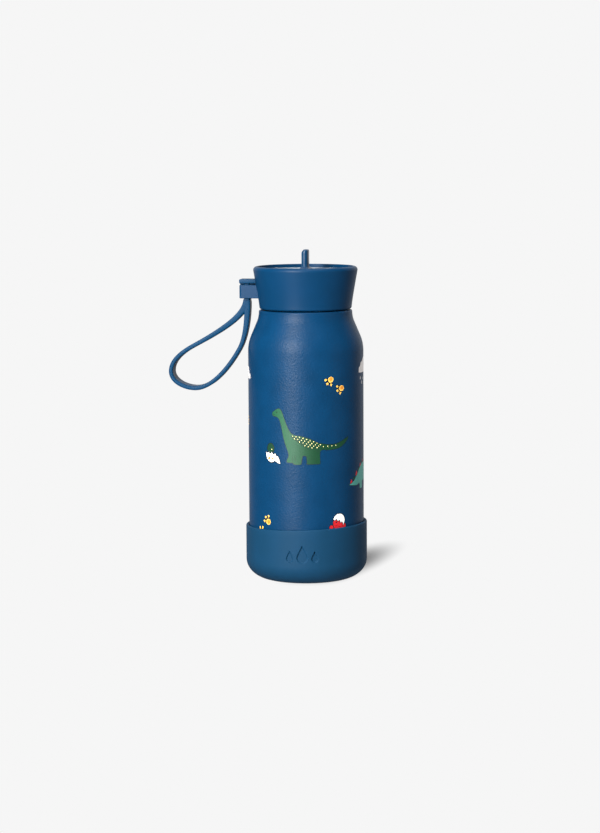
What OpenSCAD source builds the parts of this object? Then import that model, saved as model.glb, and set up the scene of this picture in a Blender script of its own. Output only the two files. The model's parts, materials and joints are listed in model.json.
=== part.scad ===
// Insulated drinking bottle for children: a double-walled steel body in a silicone boot, with a
// screw-on lid that has a folding straw spout, and a silicone carrying loop on the lid's lug.
// Millimetres. The origin is the centre of the boot's underside, +Z runs up the bottle's axis,
// the front faces -Y, the carrying loop hangs on the -X side and the spout folds towards +X.

/* [Steel body] */
// Outside diameter of the body
body_d = 67; // [58:0.5:90]
// Height of the shoulder's top edge above the table
shoulder_top_z = 156.8; // [120:0.2:220]
// Thickness of each of the two steel walls
steel_t = 0.6; // [0.4:0.05:0.7]
// Width of the vacuum space between the walls
vacuum_gap = 2.4; // [1.6:0.1:3.6]
// Radius of the convex bend at the foot of the shoulder
shoulder_bend_r = 23; // [16:0.5:28]
// Radius of the concave bend just under the lid
shoulder_flare_r = 15.4; // [10:0.2:20]
// Length of the straight slope between the two bends
shoulder_slope = 8.6; // [4:0.2:11]
// Steepest lean of the shoulder away from upright, in degrees
shoulder_lean = 23; // [15:1:28]
// Rounding of the shoulder's top edge
shoulder_edge_r = 0.8; // [0.7:0.1:1.2]

/* [Neck and screw thread] */
// Height of the neck from the shoulder's top to the mouth
neck_h = 11.2; // [9.5:0.1:14]
// Space between the neck's outer and inner wall
neck_gap = 0.4; // [0.3:0.1:0.8]
// Thread pitch, which is how far the lid rises in one turn
thread_pitch = 4; // [3.5:0.1:4.5]
// Turns of the neck's thread
neck_thread_turns = 1.25; // [1:0.05:1.4]
// Turns of the lid's thread
lid_thread_turns = 1; // [0.75:0.05:1.2]
// Height of the neck's thread ridge above the neck's wall
thread_ridge = 1.2; // [0.9:0.1:1.6]
// Radial room between each thread's crest and the other part's wall
thread_room = 0.35; // [0.3:0.05:0.5]

/* [Base] */
// Depth of the recess in the steel underside
base_recess = 2.1; // [1.4:0.1:3]
// Space between the outer base plate and the inner vessel
base_gap = 3; // [2.4:0.1:5]
// Radius of the inner vessel's bottom corner
liner_corner_r = 8; // [5:0.5:10]
// Thickness of the thin disc that covers the sealed base
base_cap_t = 0.4; // [0.3:0.1:0.6]

/* [Silicone boot] */
// Wall thickness of the boot
boot_wall = 1.8; // [1.4:0.1:2.6]
// Floor thickness of the boot
boot_floor = 2.5; // [2:0.1:3.6]
// Height of the boot's top edge on the bottle's axis
boot_top_z = 32.7; // [26:0.1:50]
// Tilt of the boot's top edge, higher on the +X side, in degrees
boot_tilt = 1.7; // [0:0.1:3]
// Width of the rounded bottom corner
boot_corner_w = 13.9; // [10:0.1:16]
// Height of the rounded bottom corner
boot_corner_h = 11.5; // [9:0.1:13]
// Depth of the ring groove that keeps the underside from sliding
grip_groove = 0.8; // [0.5:0.1:1]

/* [Lid] */
// Gap between the shoulder and the lid when the lid is screwed home
lid_gap = 0.6; // [0.4:0.1:1]
// How far the lid's lower edge stands inside the shoulder's edge
lid_inset = 0.3; // [0:0.05:0.6]
// How far the lid's wall flares out towards the rim
lid_flare = 3.45; // [2.6:0.05:4.5]
// Thickness of the lid's wall at its lower edge
lid_wall = 2.2; // [1.8:0.1:2.6]
// Thickness of the threaded inner cup's wall
core_wall = 2; // [1.6:0.1:2.4]
// Thickness of the inner cup's ceiling
core_ceiling = 1.7; // [1.4:0.1:2.4]
// Thickness of the mouth gasket
gasket_t = 2.5; // [2:0.1:3.5]
// Depth of the top plate below the rim
rim_drop = 2; // [1.4:0.1:3]
// Rounding of the rim's outer edge
rim_round = 2.1; // [1:0.1:2.2]
// Thickness of the top plate
deck_t = 1.2; // [1:0.1:1.6]
// Assembly clearance between the lid's fixed pieces
fit = 0.1; // [0.05:0.01:0.15]

/* [Spout and straw] */
// Radius of the spout's turning barrel
barrel_r = 4.4; // [3.8:0.1:5]
// Length of the barrel along its hinge
barrel_len = 13; // [12:0.2:14.4]
// Length of the spout from the hinge to its tip
spout_len = 14.2; // [12:0.2:15.5]
// Thickness of the flat spout
spout_t = 3.8; // [3.4:0.1:5]
// Width of the flat spout
spout_w = 9; // [8.6:0.2:11]
// Thickness of the drinking channel
channel_t = 1.6; // [1.2:0.1:1.8]
// Width of the drinking channel
channel_w = 4; // [3.4:0.1:4.4]
// Radius of the hinge pins
pin_r = 1.2; // [1:0.05:1.3]
// Running clearance between a pin and the barrel, or the barrel and its seat
running_fit = 0.05; // [0.03:0.01:0.08]
// Outside radius of the straw
straw_r = 3; // [2.6:0.1:3.4]
// Wall thickness of the straw
straw_wall = 0.7; // [0.5:0.1:0.9]
// Space under the straw's lower end
straw_clearance = 1.5; // [1:0.1:4]

/* [Lug and carrying loop] */
// Height of the lug's underside above the lid's lower edge
lug_rise = 6.1; // [4:0.1:6.5]
// Height of the lug
lug_h = 7.7; // [6.5:0.1:9]
// Width of the lug along Y
lug_w = 12; // [10:0.2:14]
// Reach of the lug beyond the lid's lower edge
lug_reach = 11.2; // [10:0.1:13]
// Thickness of the loop's stem, across the lug's slot
stem_t = 3.6; // [3:0.1:4]
// Width of the stem along Y
stem_w = 7.2; // [6:0.2:8]
// Thickness of the loop's head above the lug
head_t = 2.3; // [2:0.1:3]
// Thickness of the loop's band
band_t = 2.2; // [1.8:0.1:2.6]
// Width of the band at the loop's far end
band_w = 11; // [9:0.2:13]

/* [Hidden] */
$fn = 96;
eps = 0.01;        // overshoot of a cut past the face that it opens
past = 5;          // overshoot of a cut through open air

// Shoulder
body_r = body_d / 2;
shoulder_h = (shoulder_bend_r + shoulder_flare_r) * sin(shoulder_lean) + shoulder_slope * cos(shoulder_lean);
shoulder_drop = (shoulder_bend_r + shoulder_flare_r) * (1 - cos(shoulder_lean))
    + shoulder_slope * sin(shoulder_lean);
shoulder_top_r = body_r - shoulder_drop;
shoulder_end_z = shoulder_top_z - shoulder_edge_r;
shoulder_start_z = shoulder_end_z - shoulder_h;

// Neck and threads, worked inwards from the lid's lower edge
lid_base_r = shoulder_top_r - lid_inset;
lid_bore_r = lid_base_r - lid_wall;
core_r = lid_bore_r - fit;
core_bore_r = core_r - core_wall;
neck_r = core_bore_r - thread_ridge - thread_room;
liner_neck_r = neck_r - steel_t - neck_gap;
mouth_z = shoulder_top_z + neck_h;
neck_top_z = mouth_z - steel_t;
mouth_r = liner_neck_r - steel_t;
ridge_root_w = 1.9;     // width of a thread ridge where it leaves the wall
ridge_crest_w = 0.9;    // width of a thread ridge at its crest
ridge_sink = 0.3;       // how deep a ridge is rooted in its wall
ridge_step = 15;        // angle from one short ridge to the next
ridge_arc = 12;         // angle that one short ridge covers
mesh_turn = 180;        // turn of the lid's thread, which sets its ridges midway between the neck's
neck_thread_z = mouth_z - 2.6 - thread_pitch * neck_thread_turns;

// Base and inner vessel
boot_r = body_r + boot_wall;
corner_centre_r = boot_r - boot_corner_w;
base_plate_z = boot_floor + base_recess;
base_step_w = 1.5;      // width of the base plate's outer flange
seal_dimple_r = 3.4;    // radius of the dimple around the evacuation hole
seal_dimple_h = 0.9;    // height of that dimple
liner_r = body_r - steel_t - vacuum_gap;
liner_floor_z = base_plate_z + steel_t + base_gap;
liner_seam_z = liner_floor_z + liner_corner_r;
liner_shoulder_z0 = shoulder_start_z - 2;
liner_shoulder_z1 = shoulder_top_z - 3;

// Lid, stacked upwards from the lower edge and the mouth
lid_z = shoulder_top_z + lid_gap;
ceiling_z = mouth_z + gasket_t;
ceiling_top_z = ceiling_z + core_ceiling;
flange_t = 1.2;                    // thickness of the inner cup's flange
flange_r = core_r + 1.8;
flange_top_z = ceiling_top_z + flange_t;
seat_floor = 0.8;                  // silicone left under the barrel
hinge_z = ceiling_top_z + seat_floor + barrel_r;
fold_depth = 0.7;                  // how far the folded spout lies below the top plate's face
deck_z = hinge_z + spout_t / 2 + fold_depth;
rim_z = deck_z + rim_drop;
rim_r = lid_base_r + lid_flare;
rim_edge_z = rim_z - rim_round;
rim_bore_r = rim_r - 2.55;
rim_inner_round = 0.35;            // bevel of the rim's inner edge
deck_r = rim_bore_r - fit;
lid_corner_r = 1.2;                // rounding of the lid's lower edge

// Spout pocket and trough in the deck
pocket_l = 2 * barrel_r + 1;       // length of the pocket along X
pocket_w = barrel_len + 0.8;
pocket_wall = 1.2;
trough_end = spout_len + 1.2;
trough_w = spout_w + 1.2;
trough_z = hinge_z - spout_t / 2 - 0.6;
scoop_r = 8;                       // radius of the finger scoop's hollow
scoop_lift = 4.2;                  // height of that radius's centre above the deck
scoop_half = sqrt(scoop_r * scoop_r - scoop_lift * scoop_lift);
scoop_x = deck_r - 4.3 - scoop_half;
scoop_w = 13;
pin_len = 7.1;                     // length of each hinge pin
pin_inner_y = 3.4;                 // distance of a pin's inner end from the channel's middle
bearing_w = 2 * (pin_inner_y + pin_len) + 1.4;
nipple_t = spout_t - 0.9;          // thickness of the nipple inside the mouthpiece
nipple_w = spout_w - 2.6;
nipple_len = spout_len - 2.2;
port_r = 1.4;                      // radius of the water port in the seat
tip_back_r = 2.3;                  // rounding of the tip on the side that lies on top when folded
tip_front_r = 0.7;                 // rounding of the tip on the other side

// Straw and its adapter
adapter_r = 4;                     // radius of the adapter in the ceiling
adapter_flange_r = 6.2;
adapter_flange_t = 1.3;
adapter_sleeve_r = straw_r + 1.3;
adapter_len = 10;
straw_top_z = ceiling_z - 2.5;
straw_bottom_z = liner_floor_z + steel_t + straw_clearance;

// Air valve
valve_x = -13;                     // distance of the air valve from the axis
valve_stem_r = 1.5;
valve_disc_r = 3.6;
valve_disc_t = 1.1;
vent_r = 0.8;

// Lug, loop head, stem and band
lug_z = lid_z + lug_rise;
lug_top_z = lug_z + lug_h;
lug_end_x = -(lid_base_r + lug_reach);
stem_x = lug_end_x + 4.1;
slot_room = 0.2;                   // room around the stem in the lug's slot
head_gap = 1;                      // gap between the lug and the loop's head
head_w = 11;
head_wall_gap = 0.7;               // gap between the loop's head and the lid's wall
foot_inset = 0.9;                  // how far the foot under the head stands inside the head's sides
foot_gap = 0.15;                   // gap between that foot and the lug
flex_z = lug_z - 4.5;              // height of the axis that the loop swings about
flex_room = 0.3;                   // gap between the fixed stem and the swinging loop
flex_r = stem_t / 2;

// The band's middle line, as cubic curves from the swing axis: down the outer side, round the far
// end and back up beside the bottle. Each row is start, two handles, end, as X and Z distances.
band_curves = [
    [[-0.6, -2.0], [-3.5, -6.0], [-15.0, -14.5], [-31.5, -23.2]],
    [[-31.5, -23.2], [-38.8, -27.1], [-45.0, -32.0], [-45.0, -38.4]],
    [[-45.0, -38.4], [-45.0, -44.6], [-37.2, -48.4], [-30.6, -48.4]],
    [[-30.6, -48.4], [-21.0, -48.4], [-10.6, -36.0], [-4.2, -24.4]],
    [[-4.2, -24.4], [-0.8, -18.0], [0.6, -8.0], [0.2, -2.0]]
];
band_steps = 8;                    // straight pieces in each curve
band_narrow_x = -2;                // where the band starts to widen, from the swing axis
band_wide_x = -26;                 // where it reaches its full width
band_reach = 50;                   // more than the band's reach from the swing axis

// Points along an ellipse's arc, from angle a0 to a1
function arc(c, rx, rz, a0, a1, n) =
    [for (i = [0 : n]) let (a = a0 + (a1 - a0) * i / n) c + [rx * cos(a), rz * sin(a)]];
function reverse(list) = [for (i = [len(list) - 1 : -1 : 0]) list[i]];
// A cubic curve's point and its direction
function cubic(p, t) = pow(1 - t, 3) * p[0] + 3 * t * pow(1 - t, 2) * p[1]
    + 3 * t * t * (1 - t) * p[2] + pow(t, 3) * p[3];
function cubic_dir(p, t) = pow(1 - t, 2) * (p[1] - p[0]) + 2 * t * (1 - t) * (p[2] - p[1])
    + t * t * (p[3] - p[2]);
function unit(v) = v / norm(v);

// The steel shoulder's outline, a distance "inset" inside its outer face
function shoulder_path(inset) = concat(
    arc([body_r - shoulder_bend_r, shoulder_start_z],
        shoulder_bend_r - inset, shoulder_bend_r - inset, 0, shoulder_lean, 8),
    arc([shoulder_top_r + shoulder_flare_r, shoulder_end_z],
        shoulder_flare_r + inset, shoulder_flare_r + inset, 180 + shoulder_lean, 180, 6));

// The outer shell's outline from the base up to the top of the neck
function shell_path(inset) = concat(
    arc([corner_centre_r, boot_corner_h],
        boot_corner_w - boot_wall - inset, boot_corner_h - boot_floor - inset, 270, 360, 10),
    shoulder_path(inset),
    arc([shoulder_top_r - shoulder_edge_r, shoulder_end_z],
        shoulder_edge_r - inset, shoulder_edge_r - inset, 0, 90, 3),
    [[neck_r - inset, shoulder_top_z - inset], [neck_r - inset, neck_top_z]]);

// The inner vessel's shoulder is two equal bends
liner_drop = liner_r - liner_neck_r;
liner_rise = liner_shoulder_z1 - liner_shoulder_z0;
liner_bend_r = (liner_drop * liner_drop + liner_rise * liner_rise) / (4 * liner_drop);
liner_lean = asin(liner_rise / (2 * liner_bend_r));
function liner_path(inset) = concat(
    [[liner_r - inset, liner_seam_z]],
    arc([liner_r - liner_bend_r, liner_shoulder_z0],
        liner_bend_r - inset, liner_bend_r - inset, 0, liner_lean, 8),
    arc([liner_neck_r + liner_bend_r, liner_shoulder_z1],
        liner_bend_r + inset, liner_bend_r + inset, 180 + liner_lean, 180, 8));

// The lid's outer wall, from its lower corner to the rim
lid_wall_curve = [[lid_base_r, lid_z + lid_corner_r], [lid_base_r + 0.5, lid_z + 6.6],
    [rim_r - 0.65, rim_z - 6], [rim_r, rim_edge_z]];
function lid_outline(grow) = concat(
    arc([lid_base_r - lid_corner_r, lid_z + lid_corner_r],
        lid_corner_r + grow, lid_corner_r + grow, 270, 360, 4),
    [for (i = [1 : 12]) cubic(lid_wall_curve, i / 12) + [grow, 0]],
    [for (p = arc([rim_r - rim_round, rim_edge_z], rim_round + grow, rim_round + grow, 0, 90, 6))
        if (p.y > rim_edge_z + eps) p]);

// An interrupted screw thread: short level ridges, stepped along a helix. They stand out of the wall
// for a positive height, and into the bore for a negative one.
module thread_ridges(wall_r, height, z0, turns) {
    root_r = wall_r - sign(height) * ridge_sink;
    crest_r = wall_r + height;
    for (a = [0 : ridge_step : turns * 360])
        translate([0, 0, z0 + thread_pitch * a / 360])
            rotate([0, 0, a])
                rotate_extrude(angle = ridge_arc)
                    polygon([[root_r, -ridge_root_w / 2], [crest_r, -ridge_crest_w / 2],
                        [crest_r, ridge_crest_w / 2], [root_r, ridge_root_w / 2]]);
}

// An upright prism with two round sides: "t" thick along X and "w" wide along Y
module oval(t, w, z0, z1) {
    translate([0, 0, z0])
        linear_extrude(z1 - z0)
            union() {
                square([t, w - t], center = true);
                for (side = [-1, 1])
                    translate([0, side * (w - t) / 2])
                        circle(d = t);
            }
}

// A box given by its two corners
module block(low, high) {
    translate(low)
        cube(high - low);
}

// A straight tube on the bottle's axis
module tube(outer_r, inner_r, z0, z1) {
    rotate_extrude()
        translate([inner_r, z0])
            square([outer_r - inner_r, z1 - z0]);
}

// A cylinder along Y, through the spout's hinge height
module cross_cylinder(r, y0, y1) {
    translate([0, y1, hinge_z])
        rotate([90, 0, 0])
            cylinder(r = r, h = y1 - y0);
}

// ---- Steel body ----

module outer_shell() {
    color("#175078")
        union() {
            rotate_extrude()
                polygon(concat(shell_path(0), reverse(shell_path(steel_t))));
            thread_ridges(neck_r, thread_ridge, neck_thread_z, neck_thread_turns);
        }
}

// Stamped disc welded into the shell's underside, with a dimple around the evacuation hole
module outer_base_plate() {
    step_r = corner_centre_r - base_step_w;
    low = boot_floor;
    mid = base_plate_z;
    high = base_plate_z + seal_dimple_h;
    color("silver")
        rotate_extrude()
            polygon([[corner_centre_r, low], [corner_centre_r, low + steel_t],
                [step_r, low + steel_t], [step_r, mid + steel_t],
                [seal_dimple_r + steel_t, mid + steel_t], [seal_dimple_r + steel_t, high + steel_t],
                [1, high + steel_t], [1, high], [seal_dimple_r, high], [seal_dimple_r, mid],
                [step_r - steel_t, mid], [step_r - steel_t, low]]);
}

// Drop of solder glass that closes the evacuation hole
module vacuum_seal_bead() {
    color("dimgray")
        union() {
            translate([0, 0, base_plate_z + seal_dimple_h - 0.7])
                cylinder(r = seal_dimple_r - 0.6, h = 0.7);
            translate([0, 0, base_plate_z + seal_dimple_h - 0.7])
                cylinder(r = 1, h = 0.7 + steel_t);
        }
}

// Thin disc glued into the recess, which covers the seal
module base_cap() {
    cap_r = corner_centre_r - base_step_w - steel_t - 0.2;
    color("gainsboro")
        rotate_extrude()
            polygon([[0, base_plate_z - 1.2], [cap_r, base_plate_z - 1.2], [cap_r, base_plate_z],
                [cap_r - base_cap_t, base_plate_z],
                [cap_r - base_cap_t, base_plate_z - 1.2 + base_cap_t],
                [0, base_plate_z - 1.2 + base_cap_t]]);
}

// Inner vessel: tube, shoulder and neck, with a lip that turns over the shell's neck
module inner_liner() {
    lip = [[liner_neck_r, neck_top_z], [neck_r, neck_top_z], [neck_r, mouth_z - 0.2],
        [neck_r - 0.2, mouth_z], [mouth_r + 0.2, mouth_z], [mouth_r, mouth_z - 0.2]];
    color("lightgray")
        rotate_extrude()
            polygon(concat(liner_path(0), lip, reverse(liner_path(steel_t))));
}

// Inner vessel's bottom, welded to the tube at its seam
module liner_base() {
    function base_path(inset) = concat([[0, liner_floor_z + inset]],
        arc([liner_r - liner_corner_r, liner_seam_z],
            liner_corner_r - inset, liner_corner_r - inset, 270, 360, 8));
    color("lightgray")
        rotate_extrude()
            polygon(concat(base_path(0), reverse(base_path(steel_t))));
}

// Pellet that keeps the vacuum clean, bonded under the inner vessel
module getter() {
    color("gray")
        translate([0, 0, liner_floor_z - 1.4])
            cylinder(r = 6.5, h = 1.4);
}

// Stretch-on silicone boot, open at the top, with a ring groove underneath
module boot() {
    outer = arc([corner_centre_r, boot_corner_h], boot_corner_w, boot_corner_h, 270, 360, 12);
    inner = arc([corner_centre_r, boot_corner_h],
        boot_corner_w - boot_wall, boot_corner_h - boot_floor, 270, 360, 10);
    rough_top_z = boot_top_z + past;
    groove_r = corner_centre_r - 6;
    color("#2a6a92")
        difference() {
            rotate_extrude()
                polygon(concat([[0, 0]], outer, [[boot_r, rough_top_z], [body_r, rough_top_z]],
                    reverse(inner), [[0, boot_floor]]));
            translate([0, 0, boot_top_z])
                rotate([0, -boot_tilt, 0])
                    translate([-2 * boot_r, -2 * boot_r, 0])
                        cube([4 * boot_r, 4 * boot_r, 2 * past]);
            tube(groove_r + 1.5, groove_r, -past, grip_groove);
        }
}

// ---- Lid ----

// Flat silicone ring between the mouth and the inner cup's ceiling
module neck_gasket() {
    color("white")
        tube(core_bore_r - fit, mouth_r + 0.3, mouth_z, ceiling_z);
}

// Lid's outer wall with the lug that holds the carrying loop
module lid_shell() {
    wall = concat([[lid_bore_r, lid_z]], lid_outline(0),
        [[rim_bore_r + rim_inner_round, rim_z], [rim_bore_r, rim_z - rim_inner_round],
            [rim_bore_r, deck_z - deck_t],
            [flange_r + fit, deck_z - deck_t], [flange_r + fit, ceiling_top_z],
            [lid_bore_r, ceiling_top_z]]);
    color("#15507e")
        difference() {
            union() {
                rotate_extrude()
                    polygon(wall);
                lug();
            }
            block([stem_x - stem_t / 2 - slot_room, -stem_w / 2 - slot_room, lug_z - past],
                [stem_x + stem_t / 2 + slot_room, stem_w / 2 + slot_room, lug_top_z + past]);
        }
}

// Square lug with rounded outer corners, rooted inside the lid's wall
module lug() {
    corner = 1.5;
    root_x = -(lid_base_r - lid_wall / 2);
    block([lug_end_x + corner, -lug_w / 2, lug_z], [root_x, lug_w / 2, lug_top_z]);
    block([lug_end_x, -lug_w / 2 + corner, lug_z], [root_x, lug_w / 2 - corner, lug_top_z]);
    for (side = [-1, 1])
        translate([lug_end_x + corner, side * (lug_w / 2 - corner), lug_z])
            cylinder(r = corner, h = lug_h);
}

// Threaded inner cup with holes for the straw adapter and the air valve
module lid_core() {
    skirt_z = lid_z + 0.8;
    color("aliceblue")
        difference() {
            union() {
                rotate_extrude()
                    polygon([[core_bore_r, skirt_z], [core_r, skirt_z], [core_r, ceiling_top_z],
                        [flange_r, ceiling_top_z], [flange_r, flange_top_z],
                        [core_bore_r, flange_top_z], [core_bore_r, ceiling_top_z],
                        [0, ceiling_top_z], [0, ceiling_z], [core_bore_r, ceiling_z]]);
                rotate([0, 0, mesh_turn])
                    thread_ridges(core_bore_r, -thread_ridge, neck_thread_z, lid_thread_turns);
            }
            translate([0, 0, ceiling_z - past])
                cylinder(r = adapter_r, h = core_ceiling + 2 * past);
            translate([valve_x, 0, ceiling_z - past])
                cylinder(r = valve_stem_r, h = core_ceiling + 2 * past);
        }
}

// Top plate with the spout's pocket, its trough, the bearing blocks and a finger scoop
module lid_deck() {
    under_z = deck_z - deck_t;
    pocket_x = pocket_l / 2;
    color("#15507e")
        difference() {
            union() {
                tube(deck_r, 0, under_z, deck_z);
                tube(flange_r - fit, flange_r - 1.2, flange_top_z, deck_z - eps);
                block([-pocket_x - pocket_wall, -bearing_w / 2, ceiling_top_z + 0.4],
                    [pocket_x, bearing_w / 2, deck_z - eps]);
                block([pocket_x - eps, -trough_w / 2 - pocket_wall, trough_z - deck_t],
                    [trough_end + pocket_wall, trough_w / 2 + pocket_wall, deck_z - eps]);
                scoop(scoop_r + deck_t, scoop_w / 2 + pocket_wall, deck_z - eps);
            }
            block([-pocket_x, -pocket_w / 2, ceiling_top_z], [pocket_x, pocket_w / 2, rim_z]);
            block([0, -trough_w / 2, trough_z], [trough_end, trough_w / 2, rim_z]);
            scoop(scoop_r, scoop_w / 2, rim_z);
            cross_cylinder(pin_r, -pin_inner_y - pin_len - fit, pin_inner_y + pin_len + fit);
            translate([valve_x, 0, under_z - past])
                cylinder(r = vent_r, h = deck_t + 2 * past);
        }
}

// The finger scoop's round hollow, cut off at a height
module scoop(r, half_w, top_z) {
    intersection() {
        translate([scoop_x, half_w, deck_z + scoop_lift])
            rotate([90, 0, 0])
                cylinder(r = r, h = 2 * half_w);
        block([scoop_x - 2 * r, -2 * half_w, hinge_z - 2 * r], [scoop_x + 2 * r, 2 * half_w, top_z]);
    }
}

// Silicone saddle under the barrel, with the water port through it
module spout_seat() {
    half_l = pocket_l / 2 - 0.6;
    half_w = pocket_w / 2 - 0.6;
    color("white")
        difference() {
            block([-half_l, -half_w, ceiling_top_z], [half_l, half_w, trough_z + 0.4]);
            cross_cylinder(barrel_r + running_fit, -pocket_w, pocket_w);
            translate([0, 0, ceiling_top_z - past])
                cylinder(r = port_r, h = barrel_r + past);
        }
}

// Silicone umbrella valve that lets air into the bottle
module vent_valve() {
    color("white")
        translate([valve_x, 0, 0])
            rotate_extrude()
                polygon([[0, ceiling_z - valve_disc_t], [valve_disc_r * 0.6, ceiling_z - valve_disc_t],
                    [valve_disc_r, ceiling_z - 0.4], [valve_disc_r, ceiling_z], [valve_stem_r, ceiling_z],
                    [valve_stem_r, ceiling_top_z], [valve_stem_r + 0.6, ceiling_top_z],
                    [valve_stem_r * 0.5, ceiling_top_z + 2], [0, ceiling_top_z + 2]]);
}

// Push-in adapter that holds the straw under the ceiling
module straw_adapter() {
    color("white")
        difference() {
            union() {
                tube(adapter_r, 0, ceiling_z - eps, ceiling_top_z);
                tube(adapter_flange_r, 0, ceiling_z - adapter_flange_t, ceiling_z);
                tube(adapter_sleeve_r, 0, ceiling_z - adapter_len, ceiling_z - adapter_flange_t + eps);
            }
            translate([0, 0, ceiling_z - adapter_len - past])
                cylinder(r = straw_r, h = adapter_len + past - (ceiling_z - straw_top_z));
            translate([0, 0, straw_top_z - past])
                cylinder(r = straw_r - straw_wall, h = past + core_ceiling + 2 * past);
        }
}

// Straw with two notches at its foot, so that it can't seal itself against the floor
module straw() {
    color("whitesmoke")
        difference() {
            tube(straw_r, straw_r - straw_wall, straw_bottom_z, straw_top_z);
            translate([-past, 0, straw_bottom_z])
                rotate([0, 90, 0])
                    cylinder(r = 1.2, h = 2 * past);
        }
}

// Two steel hinge pins, pressed into the bearing blocks
module spout_pins() {
    color("silver")
        for (y = [pin_inner_y, -pin_inner_y - pin_len])
            cross_cylinder(pin_r, y, y + pin_len);
}

// ---- Spout ----

// Turning barrel with the nipple that carries the mouthpiece
module spout_barrel() {
    color("#123f66")
        difference() {
            union() {
                cross_cylinder(barrel_r, -barrel_len / 2, barrel_len / 2);
                oval(nipple_t, nipple_w, hinge_z, hinge_z + nipple_len);
            }
            oval(channel_t, channel_w, hinge_z - barrel_r - past, hinge_z + spout_len + past);
            cross_cylinder(pin_r + running_fit, pin_inner_y - 0.2, barrel_len);
            cross_cylinder(pin_r + running_fit, -barrel_len, -pin_inner_y + 0.2);
        }
}

// The spout's outline seen along the hinge, with its two tip corners rounded
module tip_prism() {
    half_t = spout_t / 2;
    translate([0, spout_w, hinge_z])
        rotate([90, 0, 0])
            linear_extrude(2 * spout_w)
                polygon(concat([[half_t + eps, 0]],
                    arc([half_t + eps - tip_front_r, spout_len - tip_front_r],
                        tip_front_r, tip_front_r, 0, 90, 4),
                    arc([tip_back_r - half_t - eps, spout_len - tip_back_r],
                        tip_back_r, tip_back_r, 90, 180, 8),
                    [[-half_t - eps, 0]]));
}

// Soft sleeve over the nipple, which forms the drinking end
module mouthpiece() {
    color("#123f66")
        difference() {
            intersection() {
                oval(spout_t, spout_w, hinge_z, hinge_z + spout_len);
                tip_prism();
            }
            cross_cylinder(barrel_r, -barrel_len, barrel_len);
            oval(nipple_t, nipple_w, hinge_z - past, hinge_z + nipple_len);
            oval(channel_t, channel_w, hinge_z, hinge_z + spout_len + past);
        }
}

// ---- Carrying loop ----

// The loop's head and the stem in the lug's slot, which move with the lid
module strap_anchor() {
    head_z = lug_top_z + head_gap;
    color("#2068a4")
        union() {
            difference() {
                union() {
                    block([lug_end_x - 0.1, -head_w / 2, head_z],
                        [-lid_base_r, head_w / 2, head_z + head_t]);
                    block([lug_end_x + foot_inset, -head_w / 2 + foot_inset, lug_top_z + foot_gap],
                        [-lid_base_r, head_w / 2 - foot_inset, head_z + eps]);
                }
                rotate_extrude()
                    polygon(concat([[0, lid_z]], lid_outline(head_wall_gap), [[0, rim_z + head_wall_gap]]));
            }
            block([stem_x - stem_t / 2, -stem_w / 2, flex_z + flex_r + flex_room],
                [stem_x + stem_t / 2, stem_w / 2, head_z + eps]);
        }
}

// One stretch of the band, as wide as the band at its far end
module band_piece(curve) {
    function side(way) = [for (i = [0 : band_steps]) let (t = i / band_steps, d = unit(cubic_dir(curve, t)))
        cubic(curve, t) + way * band_t / 2 * [-d.y, d.x]];
    translate([0, band_w / 2, 0])
        rotate([90, 0, 0])
            linear_extrude(band_w)
                polygon(concat(side(1), reverse(side(-1))));
}

// The swinging loop: a band bent into a drop shape, narrower where it joins the stem
module strap_loop() {
    color("#2068a4")
        translate([stem_x, 0, flex_z])
            intersection() {
                union() {
                    rotate([90, 0, 0])
                        cylinder(r = flex_r, h = band_w, center = true);
                    block([-flex_r, -band_w / 2, -3.6], [flex_r, band_w / 2, 0]);
                    for (curve = band_curves)
                        band_piece(curve);
                    for (i = [0 : len(band_curves) - 2])
                        translate([band_curves[i][3].x, 0, band_curves[i][3].y])
                            rotate([90, 0, 0])
                                cylinder(d = band_t, h = band_w, center = true);
                }
                translate([0, 0, -band_reach - flex_r])
                    linear_extrude(band_reach + 3 * flex_r)
                        polygon([[flex_r + 1, -stem_w / 2], [flex_r + 1, stem_w / 2],
                            [band_narrow_x, stem_w / 2], [band_wide_x, band_w / 2],
                            [-band_reach, band_w / 2], [-band_reach, -band_w / 2],
                            [band_wide_x, -band_w / 2], [band_narrow_x, -stem_w / 2]]);
            }
}

outer_shell();
outer_base_plate();
vacuum_seal_bead();
base_cap();
inner_liner();
liner_base();
getter();
boot();
neck_gasket();
lid_shell();
lid_core();
lid_deck();
spout_seat();
vent_valve();
straw_adapter();
straw();
spout_pins();
strap_anchor();
spout_barrel();
mouthpiece();
strap_loop();
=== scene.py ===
# The looks of a child's insulated bottle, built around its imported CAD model.
import json
import math

import bmesh
import bpy
from mathutils import Matrix, Vector


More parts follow.
